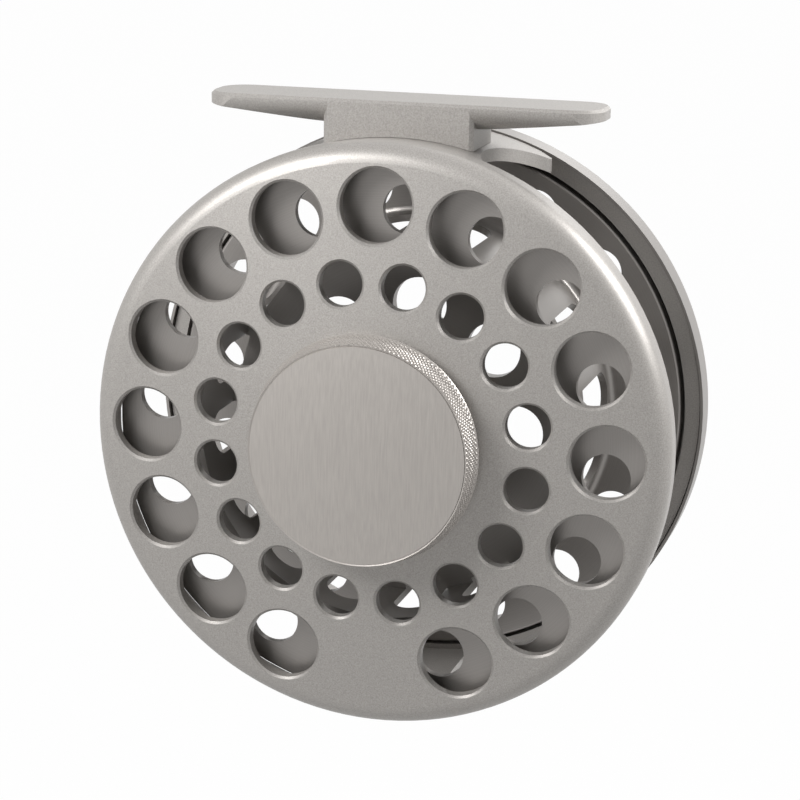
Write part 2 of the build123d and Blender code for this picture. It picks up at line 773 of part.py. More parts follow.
# ================================================================ one-way clutch and bearing
def make_clutch():
    """The clutch that lets the spool wind freely and drives the drag hub the other way."""
    rollers = around(roller_ring_r, 8)
    finish(ring(clutch_front, clutch_back, clutch_bore, clutch_shell_r - seat), "clutch_shell")
    finish(posts(clutch_front + roller_end, clutch_back - roller_end, roller_r, rollers), "clutch_rollers")
    pockets = posts(clutch_front + roller_end - play, clutch_back - roller_end + play, roller_r + play,
                    rollers)
    with BuildPart() as clutch_cage:
        with BuildSketch(station(clutch_back - cage_end)):
            Circle(clutch_bore - play)
            Circle(drag_hub_r + play, mode=Mode.SUBTRACT)
        extrude(amount=clutch_back - clutch_front - 2 * cage_end)
        add(pockets.part, mode=Mode.SUBTRACT)
    finish(clutch_cage, "clutch_cage")


def race(inner, outer):
    """One race: a ring with the balls' groove cut round it."""
    with BuildPart() as body:
        with BuildSketch(SECTION):
            with Locations((bearing_middle, (inner + outer) / 2)):
                Rectangle(bearing_width, outer - inner)
            with Locations((bearing_middle, bearing_ring_r)):
                Circle(bearing_ball_r + groove_gap, mode=Mode.SUBTRACT)
        revolve(axis=SPOOL_AXIS)
    return body


def make_bearing():
    """The ball bearing at the handle side of the hub, and the clip that holds it."""
    angles = [45 * (k + 0.5) for k in range(8)]
    places = [polar(bearing_ring_r, angle) for angle in angles]
    middle = bearing_middle - foot_setback
    finish(race(spindle_r + seat, bearing_ring_r - race_gap), "bearing_inner_race")
    finish(race(bearing_ring_r + race_gap, bearing_r - seat), "bearing_outer_race")
    with BuildPart() as bearing_balls:
        with Locations(*[(x, middle, z - axis_drop) for x, z in places]):
            Sphere(bearing_ball_r)
    finish(bearing_balls, "bearing_balls")
    with BuildPart() as bearing_cage:
        with BuildSketch(station(bearing_middle + ball_cage_half)):
            Circle(bearing_ring_r + ball_cage_wall)
            Circle(bearing_ring_r - ball_cage_wall, mode=Mode.SUBTRACT)
        extrude(amount=2 * ball_cage_half)
        for angle in angles:
            outwards = (cos(radians(angle)), 0, sin(radians(angle)))
            with BuildSketch(Plane(origin=(0, middle, -axis_drop), z_dir=outwards)):
                Circle(bearing_ball_r + pocket_gap)
            extrude(amount=bearing_r, mode=Mode.SUBTRACT)
    finish(bearing_cage, "bearing_cage")
    finish(ring(clip_front, clip_back, bearing_r - bearing_lip, bearing_r + clip_lip - seat), "bearing_clip")


# ================================================================ spool
def make_spool():
    """Drum, two flanges, inner web, hub and palming rim, all one piece."""
    shoulder_r = bearing_r - bearing_lip
    groove = bearing_r + clip_lip
    stud = polar(handle_r, handle_angle)
    weight = polar(handle_r, handle_angle + 180)
    cap_places = [(cap_screw_ring, 0), (-cap_screw_ring, 0)]
    thread_end = hub_back - cap_thread - slack
    cuts = [posts(near_front - over, rim_back + over, spool_hole_r,
                  around(spool_ring_r, hole_count, 90 + spool_turn)),
            posts(web_front - over, web_back + over, web_hole_r,
                  around(web_ring_r, web_hole_count, web_turn)),
            posts(far_front, far_back, stud_screw_r + seat, [stud]),
            posts(far_front, far_back, weight_screw_r + seat, [weight]),
            posts(thread_end, hub_back, cap_screw_r + seat, cap_places)]
    with BuildPart() as spool:
        with BuildSketch(SECTION) as profile:
            with BuildLine():
                Polyline((near_front, drum_in), (near_front, flange_r), (near_back, flange_r),
                         (near_back, drum_r), (far_front, drum_r), (far_front, far_flange_r),
                         (rim_front, far_flange_r), (rim_front, lip_in), (lip_front, lip_in),
                         (lip_front, rim_r), (rim_back, rim_r), (rim_back, rim_in), (far_back, rim_in),
                         (far_back, drum_in), (web_back, drum_in), (web_back, hub_r),
                         (hub_back, hub_r), (hub_back, bearing_r), (clip_back + seat, bearing_r),
                         (clip_back + seat, groove), (clip_front - seat, groove),
                         (clip_front - seat, bearing_r), (bearing_front, bearing_r),
                         (bearing_front, shoulder_r), (clutch_back + slack, shoulder_r),
                         (clutch_back + slack, clutch_shell_r), (hub_front, clutch_shell_r),
                         (hub_front, hub_r), (web_front, hub_r), (web_front, drum_in), close=True)
            make_face()
            for v, r, size in ((near_back, drum_r, drum_fillet), (far_front, drum_r, drum_fillet),
                               (rim_back, rim_r, rim_wall / 2), (near_back, flange_r, flange_wall / 3),
                               (near_front, flange_r, flange_wall / 3),
                               (far_front, far_flange_r, flange_wall / 3)):
                fillet(nearest_corner(profile, v, r), size)
        revolve(axis=SPOOL_AXIS)
        for cut in cuts:
            add(cut.part, mode=Mode.SUBTRACT)
        outside = drum_r + over
        slot_middle = (near_back + slot_start + far_front - slot_end) / 2
        for k in range(hole_count):
            x, z = polar(1, slot_turn + hole_pitch * k)
            base = (outside * x, slot_middle - foot_setback, outside * z - axis_drop)
            with BuildSketch(Plane(origin=base, x_dir=(0, 1, 0), z_dir=(x, 0, z))):
                SlotOverall(far_front - near_back - slot_start - slot_end, slot_width)
            extrude(amount=-drum_wall - 2 * over, mode=Mode.SUBTRACT)
    finish(spool, "spool")


# ================================================================ quick release
def make_release():
    """The cap on the hub, with the sliding latch that holds the spool on the spindle."""
    cap_places = [(cap_screw_ring, 0), (-cap_screw_ring, 0)]
    latch_bottom = -groove_r - latch_end
    latch_top = release_cap_r + latch_travel + latch_button
    pocket_bottom = pocket_end - release_cap_r
    hollow = posts(hub_back, cap_hollow_back, spindle_r + clear, [(0, 0)])
    screw_holes = posts(hub_back, cap_back, cap_screw_r + seat, cap_places)
    with BuildPart() as release_cap:
        with BuildSketch(station(cap_back)):
            Circle(release_cap_r)
        extrude(amount=cap_back - hub_back)
        chamfer(release_cap.edges().filter_by(GeomType.CIRCLE).sort_by(Axis.Y)[-1], cap_bevel)
        add(hollow.part, mode=Mode.SUBTRACT)
        add(screw_holes.part, mode=Mode.SUBTRACT)
        with BuildSketch(station(latch_back + nut_gap)):
            with Locations((0, (pocket_bottom + hub_r) / 2)):
                Rectangle(latch_width + 2 * nut_gap, hub_r - pocket_bottom)
        extrude(amount=latch_wall + 2 * nut_gap, mode=Mode.SUBTRACT)
    finish(release_cap, "release_cap")
    with BuildPart() as release_latch:
        with BuildSketch(station(latch_back)):
            with Locations((0, (latch_bottom + latch_top) / 2)):
                Rectangle(latch_width, latch_top - latch_bottom)
            Circle(groove_r + play, mode=Mode.SUBTRACT)
            with Locations((0, latch_travel / 2)):
                Rectangle(2 * (groove_r + play), latch_travel, mode=Mode.SUBTRACT)
            with Locations((0, latch_travel)):
                Circle(spindle_r + play, mode=Mode.SUBTRACT)
        extrude(amount=latch_wall)
    finish(release_latch, "release_latch")
    latch_middle = (latch_front + latch_back) / 2 - foot_setback
    with BuildPart() as latch_spring:
        with BuildSketch(Plane(origin=(0, latch_middle, pocket_bottom - axis_drop))):
            Circle(latch_wall / 2)
            Circle(latch_wall / 2 - latch_coil, mode=Mode.SUBTRACT)
        extrude(amount=latch_bottom - pocket_bottom - seat)
    finish(latch_spring, "latch_spring")
    finish(screws(hub_back - cap_thread, cap_back, cap_back + cap_head, cap_screw_r, cap_head_r, cap_places),
           "cap_screws")


# ================================================================ handle and counterweight
def make_handle():
    """The stud on the spool's far flange, and the grip that turns on it."""
    place = polar(handle_r, handle_angle)
    socket = grip_head_r + clear
    thread = posts(far_front + nut_gap, far_back, stud_screw_r, [place])
    shoulder = posts(far_back, shoulder_back, stud_shoulder_r, [place])
    pin = posts(shoulder_back, stud_back, stud_r, [place], grip_screw_r + seat)
    with BuildPart() as handle_stud:
        for piece in (thread, shoulder, pin):
            add(piece.part)
    finish(handle_stud, "handle_stud")
    finish(posts(shoulder_back, shoulder_back + grip_washer, grip_washer_r, [place], stud_r + seat),
           "handle_washer")
    finish(screws(stud_back - grip_thread, stud_back, stud_back + grip_head, grip_screw_r, grip_head_r,
                  [place]), "handle_screw")
    x, z = place
    own = Plane(origin=(x, -foot_setback, z - axis_drop), x_dir=(0, 1, 0), z_dir=(1, 0, 0))
    collar = (grip_front, grip_r * 0.86)
    waist = (grip_front + grip_length * 0.35, grip_r * 0.72)
    swell = (grip_front + grip_length * 0.72, grip_r * 0.97)
    crown = (grip_back - grip_length * 0.1, grip_r)
    end = (grip_back, grip_r * 0.86)
    with BuildPart() as handle_grip:
        with BuildSketch(own):
            with BuildLine():
                Line((grip_front, stud_r + fit), collar)
                ThreePointArc(collar, waist, swell)
                ThreePointArc(swell, crown, end)
                Polyline(end, (grip_back, socket), (stud_back - slack, socket),
                         (stud_back - slack, stud_r + fit), (grip_front, stud_r + fit))
            make_face()
        revolve(axis=Axis((x, 0, z - axis_drop), (0, 1, 0)))
    finish(handle_grip, "handle_grip")


def make_counterweight():
    """The weight opposite the handle, and the screw that holds it."""
    place = polar(handle_r, handle_angle + 180)
    weight_back = rim_back - weight_sink
    finish(posts(far_back, weight_back, stud_shoulder_r, [place], weight_screw_r + seat), "counterweight")
    finish(screws(far_front + nut_gap, weight_back, weight_back + weight_head, weight_screw_r,
                  weight_head_r, [place]), "counterweight_screw")


make_frame()
make_foot()
make_foot_screws()
make_spindle()
make_knob()
make_knob_parts()
make_detent()
make_press()
make_discs()
make_housing()
make_drag_hub()
make_click()
make_clutch()
make_bearing()
make_spool()
make_release()
make_handle()
make_counterweight()
print(len(written), "sub-parts written")
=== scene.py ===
import json
from math import cos, pi, radians, sin

import bpy
import numpy as np
from bpy.props import FloatProperty, FloatVectorProperty, IntProperty, PointerProperty
from bpy.types import Operator, Panel, PropertyGroup
from mathutils import Matrix, Vector


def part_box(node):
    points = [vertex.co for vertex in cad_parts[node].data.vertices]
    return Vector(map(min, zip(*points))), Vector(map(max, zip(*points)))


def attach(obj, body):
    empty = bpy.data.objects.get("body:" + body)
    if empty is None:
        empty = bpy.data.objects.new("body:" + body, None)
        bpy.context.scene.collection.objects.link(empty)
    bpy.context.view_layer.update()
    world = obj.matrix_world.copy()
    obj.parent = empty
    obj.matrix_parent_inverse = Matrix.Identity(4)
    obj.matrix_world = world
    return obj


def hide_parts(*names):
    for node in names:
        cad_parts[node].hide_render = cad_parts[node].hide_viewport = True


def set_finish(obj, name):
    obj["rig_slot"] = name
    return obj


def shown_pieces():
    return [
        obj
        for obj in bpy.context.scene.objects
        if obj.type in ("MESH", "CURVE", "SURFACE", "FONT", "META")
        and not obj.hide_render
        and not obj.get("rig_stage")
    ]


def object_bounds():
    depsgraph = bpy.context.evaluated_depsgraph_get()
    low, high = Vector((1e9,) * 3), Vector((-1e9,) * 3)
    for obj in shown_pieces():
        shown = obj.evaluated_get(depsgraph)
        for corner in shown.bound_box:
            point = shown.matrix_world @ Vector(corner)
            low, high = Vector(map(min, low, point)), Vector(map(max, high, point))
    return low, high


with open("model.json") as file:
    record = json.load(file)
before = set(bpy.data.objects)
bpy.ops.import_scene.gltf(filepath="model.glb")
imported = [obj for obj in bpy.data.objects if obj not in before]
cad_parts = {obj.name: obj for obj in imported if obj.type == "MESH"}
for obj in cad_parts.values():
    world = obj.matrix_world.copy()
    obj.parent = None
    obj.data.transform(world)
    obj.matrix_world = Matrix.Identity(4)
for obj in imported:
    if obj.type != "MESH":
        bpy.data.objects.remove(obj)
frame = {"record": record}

bl_info = {
    "name": "Fly Reel",
    "version": (1, 0, 0),
    "blender": (4, 5, 0),
    "location": "3D View > Sidebar > Fly Reel",
    "description": "Dresses the fly reel's solids: knurled knob, springs, screws, finishes and studio",
    "category": "Object",
}

# The reel stands in its own frame, in metres: +Z up to the rod, +Y along the spool axis
# towards the handle, and the origin in the middle of the foot's flat top.

MM = 0.001
WHITE = (1, 1, 1, 1)
CAD_BOX = [list(corner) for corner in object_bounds()]


def middle(node):
    """The middle of a CAD node's box."""
    low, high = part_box(node)
    return (low + high) / 2


def outside_radius(node):
    """Radius of a round CAD node about an axis along Y."""
    low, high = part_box(node)
    return (high.x - low.x) / 2


AXIS = Vector((0, 0, middle("drag_knob").z))

# Points on the pieces' grids.
SIDE_ROWS = 36          # across the knob's tapered side
DIAMOND_COLUMNS = 6     # round one diamond of the knurl
CAP_ROWS = 40           # across the cap's front
TURN_POINTS = 28        # along one turn of the detent coil
WIRE_COLUMNS = 10       # round the coil's wire
RING_COLUMNS = 144      # round the wave spring
SCREW_COLUMNS = 72      # round a screw
EDGE_ROWS = 6           # over a screw head's rounded edge

KNURL_FADE = 0.1        # share of the side over which the knurl fades at each end
CAP_CENTRE = 0.02       # the cap's innermost ring, as a share of its radius
FLAT_TURN = 0.8         # turns pressed flat at each end of the detent coil
SOCKET_SHARE = 0.45     # half of a socket's width across flats, as a share of the head's radius
SCREWS = {
    "cap_screws": {"thread": 0.8 * MM, "head": 1.3 * MM, "height": 0.5 * MM},
    "handle_screw": {"thread": 0.98 * MM, "head": 3.2 * MM, "height": 0.9 * MM},
    "counterweight_screw": {"thread": 1.2 * MM, "head": 2.3 * MM, "height": 0.7 * MM},
}


# ================================================================ settings
class ReelKnobSettings(PropertyGroup):
    """Sizes of the knob, its knurl and the springs."""

    knurl_count: IntProperty(
        name="Knurls", description="Diamonds in one row round the knob", default=144, min=24)
    knurl_rows: FloatProperty(
        name="Knurl rows", description="Rows of diamonds across the tapered side", default=5.5,
        min=0.5)
    knurl_depth: FloatProperty(
        name="Knurl depth", description="Depth of the knurl's grooves",
        default=0.26 * MM, unit="LENGTH")
    taper: FloatProperty(
        name="Taper", description="The face's edge inside the knob's widest part",
        default=1.0 * MM, unit="LENGTH")
    grip_width: FloatProperty(
        name="Grip width", description="From the face to the knob's widest part",
        default=4.5 * MM, unit="LENGTH")
    undercut: FloatProperty(
        name="Undercut", description="The skirt's end inside the widest part",
        default=0.75 * MM, unit="LENGTH")
    skirt_wall: FloatProperty(
        name="Skirt wall", description="Thickness of the knob's skirt",
        default=2.25 * MM, unit="LENGTH")
    collar_wall: FloatProperty(
        name="Collar wall", description="Thickness of the knob's inner collar",
        default=1.2 * MM, unit="LENGTH")
    skirt_rise: FloatProperty(
        name="Skirt rise", description="Skirt's end before the collar's end",
        default=0.61 * MM, unit="LENGTH")
    running_gap: FloatProperty(
        name="Running gap", description="Between the knob and what it turns on",
        default=0.05 * MM, unit="LENGTH")
    washer_room: FloatProperty(
        name="Washer room", description="Between the washer and its counterbore",
        default=0.3 * MM, unit="LENGTH")
    nut_ring: FloatProperty(
        name="Nut ring", description="Width of the drag nut's ring",
        default=5.0 * MM, unit="LENGTH")
    edge_round: FloatProperty(
        name="Edge rounding", description="Softened machined edges",
        default=0.12 * MM, unit="LENGTH")
    coil_wire: FloatProperty(
        name="Spring wire", description="Radius of the detent spring's wire",
        default=0.16 * MM, unit="LENGTH")
    coil_turns: IntProperty(
        name="Spring turns", description="Turns of the detent spring", default=6, min=3)
    wave_count: IntProperty(
        name="Waves", description="Waves round the wave spring", default=3, min=2)
    wave_height: FloatProperty(
        name="Wave height", description="Height of the wave spring's waves",
        default=0.22 * MM, unit="LENGTH")
    wave_width: FloatProperty(
        name="Wave width", description="Width of the wave spring's ring",
        default=3.8 * MM, unit="LENGTH")
    wave_wall: FloatProperty(
        name="Wave wall", description="Thickness of the wave spring",
        default=0.3 * MM, unit="LENGTH")


class ReelFinishSettings(PropertyGroup):
    """Colours of the finishes."""

    body: FloatVectorProperty(
        name="Body", description="Blasted body alloy", subtype="COLOR",
        default=(0.335, 0.318, 0.300))
    # Knob: its own warm satin tint, set lighter than the body as a painted highlight standing in for
    # the bright top of the knob's face
    knob: FloatVectorProperty(
        name="Knob", description="Satin knob alloy lightened as painted highlight", subtype="COLOR",
        default=(0.392, 0.366, 0.342))
    # Spool: its own turned alloy, set darker than the body as painted shade for the spool seen inside
    # the plate's holes
    spool: FloatVectorProperty(
        name="Spool", description="Turned spool alloy", subtype="COLOR",
        default=(0.272, 0.256, 0.242))
    steel: FloatVectorProperty(
        name="Steel", description="Ground steel", subtype="COLOR",
        default=(0.50, 0.495, 0.48))
    screw: FloatVectorProperty(
        name="Screws", description="Screw steel", subtype="COLOR",
        default=(0.34, 0.335, 0.33))
    brass: FloatVectorProperty(
        name="Brass", description="Machined brass", subtype="COLOR",
        default=(0.58, 0.40, 0.16))
    cork: FloatVectorProperty(
        name="Cork", description="Pressed cork", subtype="COLOR",
        default=(0.42, 0.24, 0.12))
    grip: FloatVectorProperty(
        name="Grip", description="Moulded grip", subtype="COLOR",
        default=(0.022, 0.022, 0.024))
    polymer: FloatVectorProperty(
        name="Polymer", description="Moulded click pawl and cages", subtype="COLOR",
        default=(0.05, 0.05, 0.055))
    seal: FloatVectorProperty(
        name="Seal", description="Rubber lip seal", subtype="COLOR",
        default=(0.015, 0.015, 0.015))
    grain: FloatProperty(
        name="Blast grain", description="Size of the blasted grain",
        default=0.22 * MM, unit="LENGTH")
    ring_spacing: FloatProperty(
        name="Tool marks", description="Spacing of the turning marks",
        default=0.16 * MM, unit="LENGTH")


class ReelStudioSettings(PropertyGroup):
    """Camera, lamps and floor."""

    azimuth: FloatProperty(
        name="Azimuth", description="Camera's turn round the reel",
        default=radians(15.97), subtype="ANGLE")
    elevation: FloatProperty(
        name="Elevation", description="Camera's height angle",
        default=radians(14.38), subtype="ANGLE")
    roll: FloatProperty(
        name="Roll", description="Lean of the camera",
        default=radians(0.90), subtype="ANGLE")
    distance: FloatProperty(
        name="Distance", description="Camera from the plate's middle", default=0.450, unit="LENGTH")
    lens: FloatProperty(
        name="Lens", description="Focal length in millimetres", default=120.7)
    shift_x: FloatProperty(
        name="Shift across", description="Lens shift across", default=0.0294)
    shift_y: FloatProperty(
        name="Shift up", description="Lens shift up", default=0.0491)
    edge_plane: FloatProperty(
        name="Aim depth", description="Plate's edge plane before the foot's middle",
        default=16.3 * MM, unit="LENGTH")
    floor_drop: FloatProperty(
        name="Floor drop", description="Floor below the reel", default=0.16, unit="LENGTH")
    floor_reach: FloatProperty(
        name="Floor reach", description="From the reel to the floor's sides", default=6.0,
        unit="LENGTH")
    floor_white: FloatProperty(
        name="Floor white", description="Share of plain white in the floor that the camera sees",
        default=0.985, min=0.0, max=1.0)
    key: FloatProperty(
        name="Key light", description="Power of the upper left lamp in watts", default=1.15)
    key_place: FloatVectorProperty(
        name="Key place", description="Upper left lamp from the middle of the knob's face",
        default=(-0.17, -0.19, 0.19), subtype="TRANSLATION", unit="LENGTH")
    side: FloatProperty(
        name="Side light", description="Power of the upper right lamp in watts", default=1.8)
    side_place: FloatVectorProperty(
        name="Side place", description="Upper right lamp from the reel's middle",
        default=(0.32, 0.03, 0.22), subtype="TRANSLATION", unit="LENGTH")
    back: FloatProperty(
        name="Back light", description="Power of the lamp behind the handle side in watts",
        default=0.8)
    back_place: FloatVectorProperty(
        name="Back place", description="Lamp behind the handle side from the reel's middle",
        default=(0.15, 0.5, 0.38), subtype="TRANSLATION", unit="LENGTH")
    front_size: FloatProperty(
        name="Front lamps", description="Side of the key and side lamps' squares", default=0.16,
        unit="LENGTH")
    back_size: FloatProperty(
        name="Back lamp", description="Side of the back lamp's square", default=0.4, unit="LENGTH")
    ambient: FloatProperty(
        name="Ambient", description="Strength of the room's diffuse light", default=0.14)


# ================================================================ surfaces
def grid_mesh(name, *grids, close_rows=False):
    """A mesh from grids of points, rows by columns, where the columns always close into a ring.
    close_rows joins the last row to the first; otherwise each end row is closed with one pole."""
    verts, faces = np.empty((0, 3)), []
    for points in grids:
        rows, columns, _ = points.shape
        index = len(verts) + np.arange(rows * columns).reshape(rows, columns)
        verts = np.vstack([verts, points.reshape(-1, 3)])
        if close_rows:
            index = np.vstack([index, index[:1]])
        right = np.roll(index, -1, axis=1)
        quads = np.stack([index[:-1], right[:-1], right[1:], index[1:]], axis=-1)
        faces += quads.reshape(-1, 4).tolist()
        if not close_rows:
            pole = np.full(columns, len(verts))
            verts = np.vstack([verts, points[0].mean(axis=0), points[-1].mean(axis=0)])
            faces += np.stack([right[0], index[0], pole], axis=-1).tolist()
            faces += np.stack([index[-1], right[-1], pole + 1], axis=-1).tolist()
    mesh = bpy.data.meshes.new(name)
    mesh.from_pydata(verts.tolist(), [], faces)
    mesh.update()
    return mesh


def rounded(corners, radius, steps, longest=0.45):
    """A closed profile with every corner turned into a short arc: the arc starts and ends at
    radius along each side of the corner, or at the longest share of that side, and bends as a
    quadratic curve through it."""
    corners = np.asarray(corners, float)
    to_before = np.roll(corners, 1, axis=0) - corners
    to_after = np.roll(corners, -1, axis=0) - corners

    def along(side):
        reach = np.minimum(radius / np.linalg.norm(side, axis=1), longest)
        return (corners + side * reach[:, None])[:, None]

    start, bend, end = along(to_before), corners[:, None], along(to_after)
    t = np.linspace(0, 1, steps)[None, :, None]
    return ((1 - t) ** 2 * start + 2 * t * (1 - t) * bend + t ** 2 * end).reshape(-1, 2)


def revolved(station, radius, columns, centre=AXIS):
    """Points about an axis along Y through centre: x = r cos(angle), y = station and
    z = r sin(angle), where each row has one station and one radius, or one for every column."""
    angle = np.linspace(0, 2 * pi, columns, endpoint=False)
    x = centre.x + radius * np.cos(angle)
    z = centre.z + radius * np.sin(angle)
    return np.stack([x, np.broadcast_to(station, x.shape), z], axis=-1)


def add_piece(mesh, body, slot, *nodes, sharp=30.0):
    """Links a finished mesh as a piece that stands for its CAD nodes and moves with a body."""
    mesh.shade_smooth()
    mesh.set_sharp_from_angle(angle=radians(sharp))
    piece = bpy.data.objects.new(mesh.name, mesh)
    bpy.context.scene.collection.objects.link(piece)
    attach(piece, body)
    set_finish(piece, slot)
    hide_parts(*nodes)


def knob_section(settings):
    """The knob's closed section as (station, radius) points, where the first SIDE_ROWS run
    along its tapered side. It is a disc with a skirt round its back, a collar round the drag
    nut, a counterbore for the washer and a seat for the cap."""
    low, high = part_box("drag_knob")
    outer, cap = outside_radius("drag_knob"), outside_radius("knob_cap")
    nut = outside_radius("drag_nut")
    bore = outside_radius("knob_washer") + settings.washer_room
    spindle = nut - settings.nut_ring
    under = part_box("drag_nut")[0].y - 2 * settings.running_gap
    cap_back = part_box("knob_cap")[1].y
    washer_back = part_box("knob_washer")[1].y + settings.running_gap
    collar_in = nut + settings.running_gap
    collar_out = collar_in + settings.collar_wall
    skirt_in = outer - settings.skirt_wall
    skirt_end = high.y - settings.skirt_rise
    corners = [(skirt_end, outer - settings.undercut), (skirt_end, skirt_in),
               (under, skirt_in), (under, collar_out),
               (high.y, collar_out), (high.y, collar_in),
               (under, collar_in), (under, spindle),
               (washer_back, spindle), (washer_back, bore),
               (cap_back, bore), (cap_back, cap), (low.y, cap)]
    face = np.array((low.y, outer - settings.taper))
    widest = np.array((low.y + settings.grip_width, outer))
    side = face + np.linspace(0, 1, SIDE_ROWS)[:, None] * (widest - face)
    return np.vstack([side, rounded(corners, settings.edge_round, steps=3)])


def knurled_knob(settings):
    """The knob: its revolved section, with a diamond knurl in the tapered side. Two families of
    V-grooves cross that side at equal and opposite slants. The depth at a point is the deeper
    groove's, each a triangle wave of (turn in diamonds) plus or minus (rows across), and it
    fades out at both ends of the side."""

    def groove(x):
        return np.abs(2 * (x - np.floor(x)) - 1)

    section = knob_section(settings)
    columns = settings.knurl_count * DIAMOND_COLUMNS
    turn = np.arange(columns) / DIAMOND_COLUMNS
    across = np.linspace(0, 1, SIDE_ROWS)[:, None]
    rows = across * settings.knurl_rows
    fade = np.clip(np.minimum(across, 1 - across) / KNURL_FADE, 0, 1)
    depth = np.zeros((len(section), columns))
    depth[:SIDE_ROWS] = np.maximum(groove(turn + rows), groove(turn - rows)) * fade
    radius = section[:, 1:] - depth * settings.knurl_depth
    return grid_mesh("knurled_knob", revolved(section[:, :1], radius, columns), close_rows=True)


def domed_cap(settings):
    """The knob's cap: a disc whose front is a shallow sphere. Its station at a radius r is the
    front plus the ball's radius less the root of the ball's radius squared less r squared."""
    low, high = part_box("knob_cap")
    outer = outside_radius("knob_cap")
    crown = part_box("drag_knob")[0].y - low.y
    ball = (outer ** 2 + crown ** 2) / (2 * crown)
    radius = outer * np.linspace(CAP_CENTRE, 1, CAP_ROWS)[:, None]
    front = low.y + ball - np.sqrt(ball ** 2 - radius ** 2)
    radius = np.vstack([radius, outer, CAP_CENTRE * outer])
    station = np.vstack([front, high.y, high.y])
    return grid_mesh("domed_cap", revolved(station, radius, settings.knurl_count))


def detent_coil(settings):
    """The detent's coil spring: a circle of the wire's radius carried along a helix about Y,
    with its end turns pressed flat by easing the climb at both ends."""
    low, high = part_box("detent_spring")
    centre = middle("detent_spring")
    wire, turns = settings.coil_wire, settings.coil_turns
    done = turns * np.linspace(0, 1, turns * TURN_POINTS)[:, None]
    climb = np.clip((done - FLAT_TURN) / (turns - 2 * FLAT_TURN), 0, 1)
    station = low.y + wire + (high.y - low.y - 2 * wire) * climb
    ring = np.linspace(0, 2 * pi, WIRE_COLUMNS, endpoint=False)
    radius = outside_radius("detent_spring") - wire + wire * np.cos(ring)
    x = centre.x + radius * np.cos(2 * pi * done)
    z = centre.z + radius * np.sin(2 * pi * done)
    y = station + wire * np.sin(ring)
    return grid_mesh("detent_coil", np.stack([x, y, z], axis=-1))


def wave_washer(settings):
    """The wave spring: a flat ring whose station follows a sine with whole waves round it."""
    outer = outside_radius("wave_spring")
    inner = outer - settings.wave_width
    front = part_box("wave_spring")[0].y + settings.wave_height
    back = front + settings.wave_wall
    angle = np.linspace(0, 2 * pi, RING_COLUMNS, endpoint=False)
    wave = settings.wave_height * np.sin(settings.wave_count * angle)
    station = np.array([front, front, back, back])[:, None] + wave
    radius = np.array([inner, outer, outer, inner])[:, None]
    return grid_mesh("wave_washer", revolved(station, radius, RING_COLUMNS), close_rows=True)


def socket_screw(place, tip, top, thread, head, height):
    """Points of a screw along +Y: a thread with a tapered tip, a head with a rounded edge, and a
    hexagon socket with a bevelled mouth. The socket's radius is the flat's distance divided by
    the cosine of the angle from that flat's middle."""
    angle = np.linspace(0, 2 * pi, SCREW_COLUMNS, endpoint=False)
    hexagon = SOCKET_SHARE * head / np.cos((angle + pi / 6) % (pi / 3) - pi / 6)
    neck = top - height
    bottom = top - 0.62 * height
    taper = 0.3 * thread
    edge = 0.22 * head
    mouth = 0.06 * head
    inset = 0.97 * hexagon
    arc = np.linspace(0, pi / 2, EDGE_ROWS)
    station = np.concatenate([(tip, tip + taper, neck, neck), top - edge + edge * np.sin(arc),
                              (top, top - mouth, bottom, bottom)])
    turned = np.concatenate([(thread - taper, thread, thread, head), head - edge + edge * np.cos(arc)])
    rings = np.repeat(turned[:, None], SCREW_COLUMNS, axis=1)
    radius = np.vstack([rings, hexagon + mouth, hexagon, hexagon, inset])
    return revolved(station[:, None], radius, SCREW_COLUMNS, place)


def screw_places(node, head):
    """The middle of a node with one screw, or of each of its two screws side by side along X."""
    low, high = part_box(node)
    spread = (high.x - low.x) / 2 - head
    if spread < MM:
        return [middle(node)]
    return [middle(node) + Vector((side * spread, 0, 0)) for side in (-1, 1)]


# ================================================================ finishes
def shader_group(name, inputs, outputs):
    """An empty shader node group and its two end nodes. Its sockets hold numbers, apart from
    one named Vector."""
    group = bpy.data.node_groups.new(name, "ShaderNodeTree")
    for labels, end in ((inputs, "INPUT"), (outputs, "OUTPUT")):
        for label in labels:
            kind = "NodeSocketVector" if label == "Vector" else "NodeSocketFloat"
            group.interface.new_socket(label, in_out=end, socket_type=kind)
    return group, group.nodes.new("NodeGroupInput"), group.nodes.new("NodeGroupOutput")


def feed(tree, socket, value):
    """Links an output to a socket, or puts a plain number in it."""
    if isinstance(value, bpy.types.NodeSocket):
        tree.links.new(value, socket)
    else:
        socket.default_value = value


def math_node(tree, operation, first, second=0.0):
    """A math node fed by sockets or plain numbers."""
    node = tree.nodes.new("ShaderNodeMath")
    node.operation = operation
    feed(tree, node.inputs[0], first)
    feed(tree, node.inputs[1], second)
    return node.outputs[0]


def noise(tree, vector, scale, detail=2.0):
    """A noise texture over a vector."""
    node = tree.nodes.new("ShaderNodeTexNoise")
    for label, value in (("Detail", detail), ("Vector", vector), ("Scale", scale)):
        feed(tree, node.inputs[label], value)
    return node.outputs["Fac"]


def grain_group():
    """Blasted grain: fine pits, which also give the shade, over pits about three times as wide."""
    group, start, end = shader_group("Blasted Grain", ("Vector", "Scale"), ("Height", "Shade"))
    vector, scale = start.outputs["Vector"], start.outputs["Scale"]
    coarse_scale, fine_share = 0.35, 0.7
    fine = noise(group, vector, scale, detail=3.0)
    coarse = noise(group, vector, math_node(group, "MULTIPLY", scale, coarse_scale))
    both = math_node(group, "ADD", math_node(group, "MULTIPLY", fine, fine_share),
                     math_node(group, "MULTIPLY", coarse, 1 - fine_share))
    group.links.new(both, end.inputs["Height"])
    group.links.new(fine, end.inputs["Shade"])
    return group


